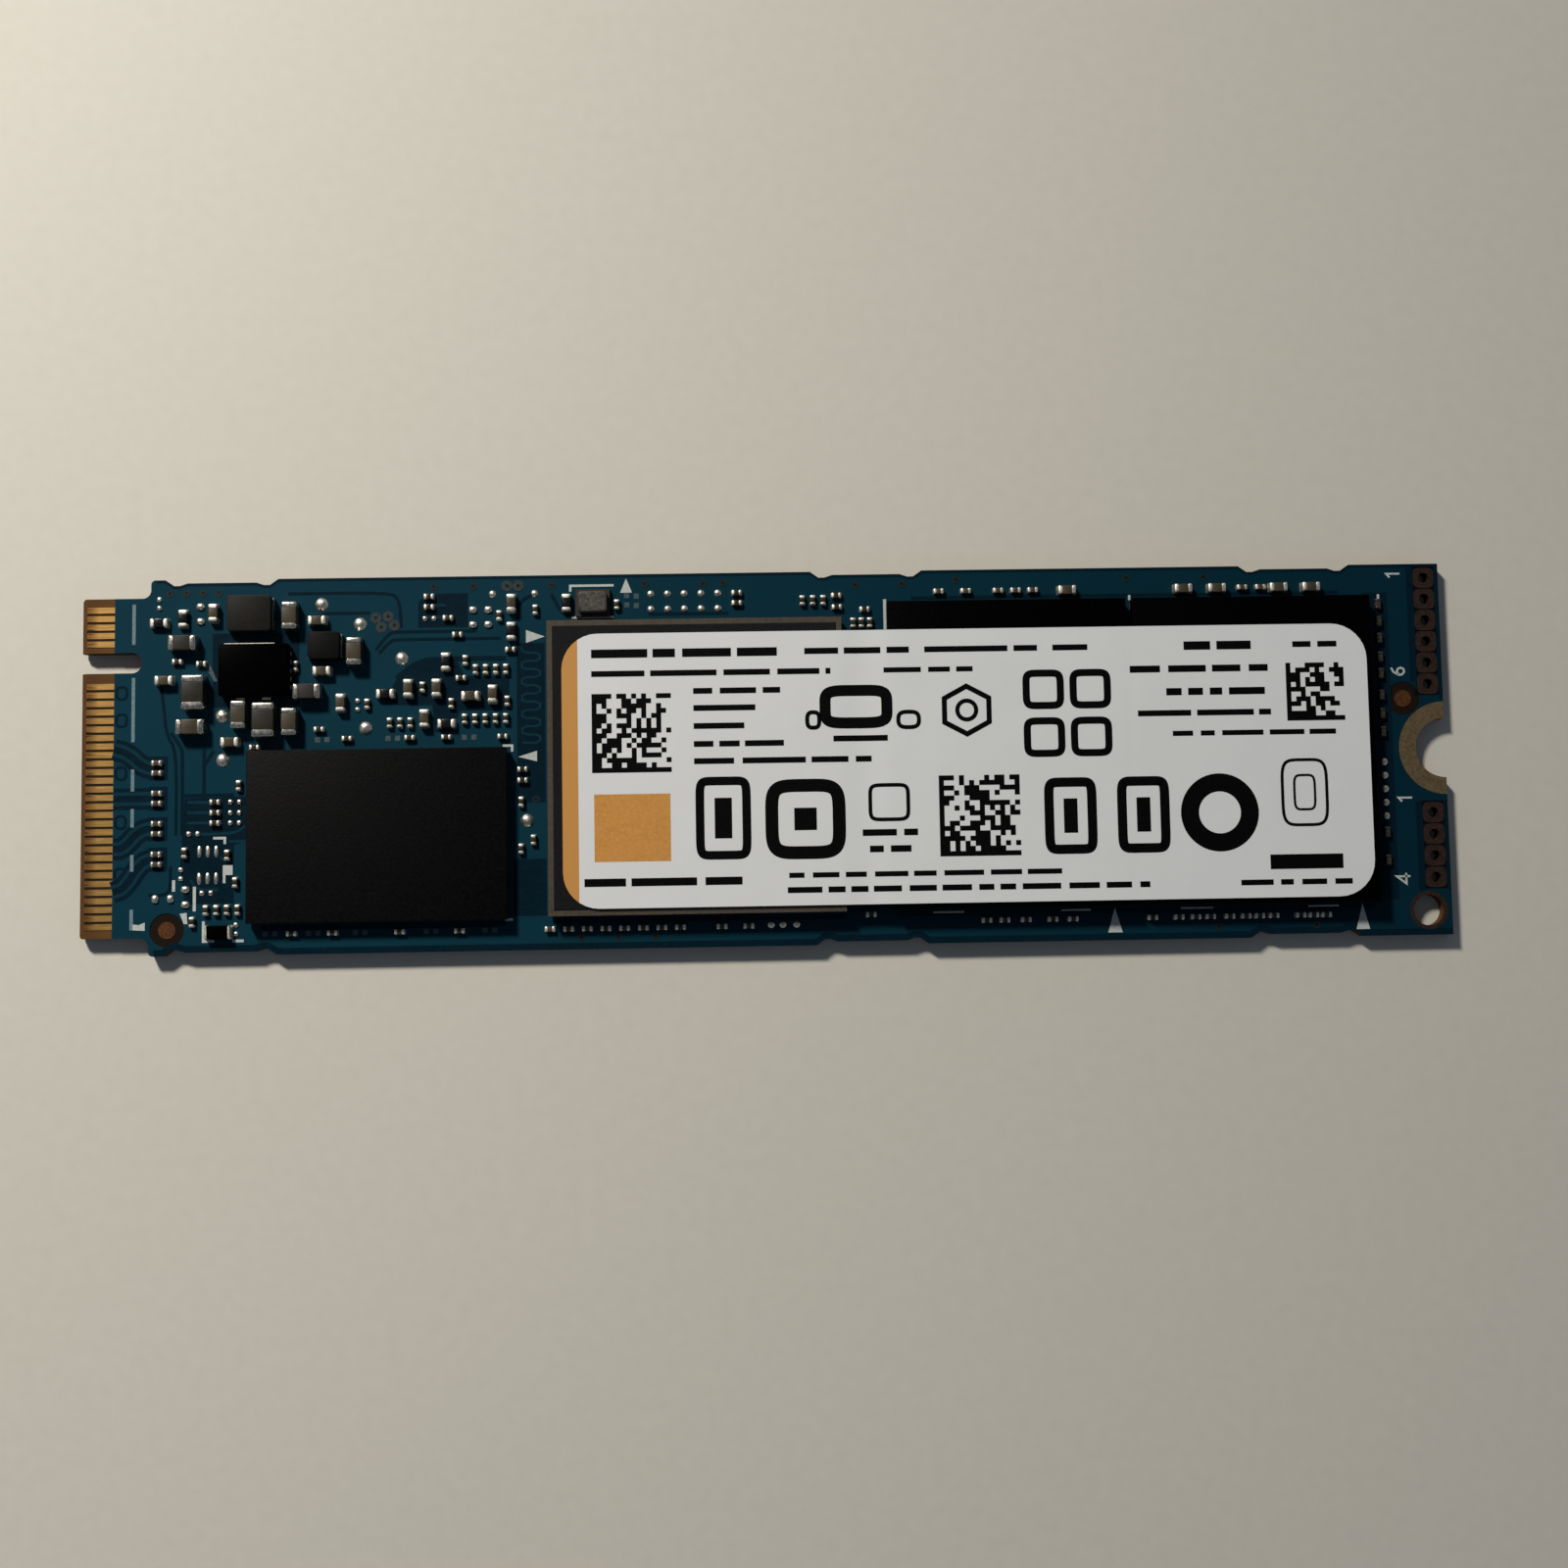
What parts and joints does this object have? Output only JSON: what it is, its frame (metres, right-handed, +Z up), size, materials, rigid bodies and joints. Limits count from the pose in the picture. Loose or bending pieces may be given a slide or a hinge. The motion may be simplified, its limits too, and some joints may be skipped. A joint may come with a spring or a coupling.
{
  "type": "solid-state drive module",
  "caption": "Plug-in solid-state drive card: thin board with a keyed gold contact edge, memory, controller and flash packages, a label across them and a screw half-hole at the far end.",
  "frame": {"origin": "centre of the board's outline on its underside", "axes": "+X from the contact edge to the screw end, +Z up out of the component side"},
  "size_m": [0.08, 0.022, 0.002],
  "materials": {
    "masked_laminate": "semi-gloss teal solder mask on glass-epoxy laminate",
    "contact_gold": "satin gold plating",
    "bare_copper": "dull protected copper",
    "package_laminate": "matt cut laminate",
    "controller_cap": "matt moulded epoxy",
    "package_mould": "matt moulded epoxy",
    "chip_mould": "moulded epoxy",
    "inductor_core": "matt pressed metal powder",
    "bright_tin": "reflowed solder and tin plating",
    "capacitor_ceramic": "matt fired ceramic",
    "large_capacitor_ceramic": "matt fired ceramic",
    "bead_ferrite": "matt fired ferrite",
    "resistor_glaze": "dark glaze",
    "oscillator_ceramic": "matt fired ceramic",
    "oscillator_metal": "plated drawn metal",
    "label_film": "matt printed film"
  },
  "bodies": {
    "root": {"bare_land_solder": "bright_tin", "beads_0603_bodies": "bead_ferrite", "beads_0603_ends": "bright_tin", "capacitors_0201_bodies": "capacitor_ceramic", "capacitors_0201_ends": "bright_tin", "capacitors_0402_bodies": "capacitor_ceramic", "capacitors_0402_ends": "bright_tin", "capacitors_0603_bodies": "capacitor_ceramic", "capacitors_0603_ends": "bright_tin", "capacitors_0805_bodies": "large_capacitor_ceramic", "capacitors_0805_ends": "bright_tin", "circuit_board": "masked_laminate", "controller_mould": "controller_cap", "controller_solder_balls": "bright_tin", "controller_substrate": "package_laminate", "coupling_capacitors_bodies": "capacitor_ceramic", "coupling_capacitors_ends": "bright_tin", "diode_bodies": "chip_mould", "diode_ends": "bright_tin", "drive_label": "label_film", "edge_contacts_bottom": "contact_gold", "edge_contacts_top": "contact_gold", "fiducial_discs": "bare_copper", "flash_left_mould": "package_mould", "flash_left_solder_balls": "bright_tin", "flash_left_substrate": "package_laminate", "flash_right_mould": "package_mould", "flash_right_solder_balls": "bright_tin", "flash_right_substrate": "package_laminate", "ground_ring": "contact_gold", "header_pads_four": "bare_copper", "header_pads_six": "bare_copper", "large_inductor_core": "inductor_core", "large_inductor_terminals": "bright_tin", "memory_mould": "package_mould", "memory_solder_balls": "bright_tin", "memory_substrate": "package_laminate", "oscillator_base": "oscillator_ceramic", "oscillator_lid": "oscillator_metal", "power_chip_mould": "chip_mould", "power_chip_pads": "bright_tin", "resistors_0201_bodies": "resistor_glaze", "resistors_0201_ends": "bright_tin", "resistors_0402_bodies": "resistor_glaze", "resistors_0402_ends": "bright_tin", "small_inductor_core": "inductor_core", "small_inductor_terminals": "bright_tin", "solder_domes": "bright_tin"}
  },
  "joints": []
}
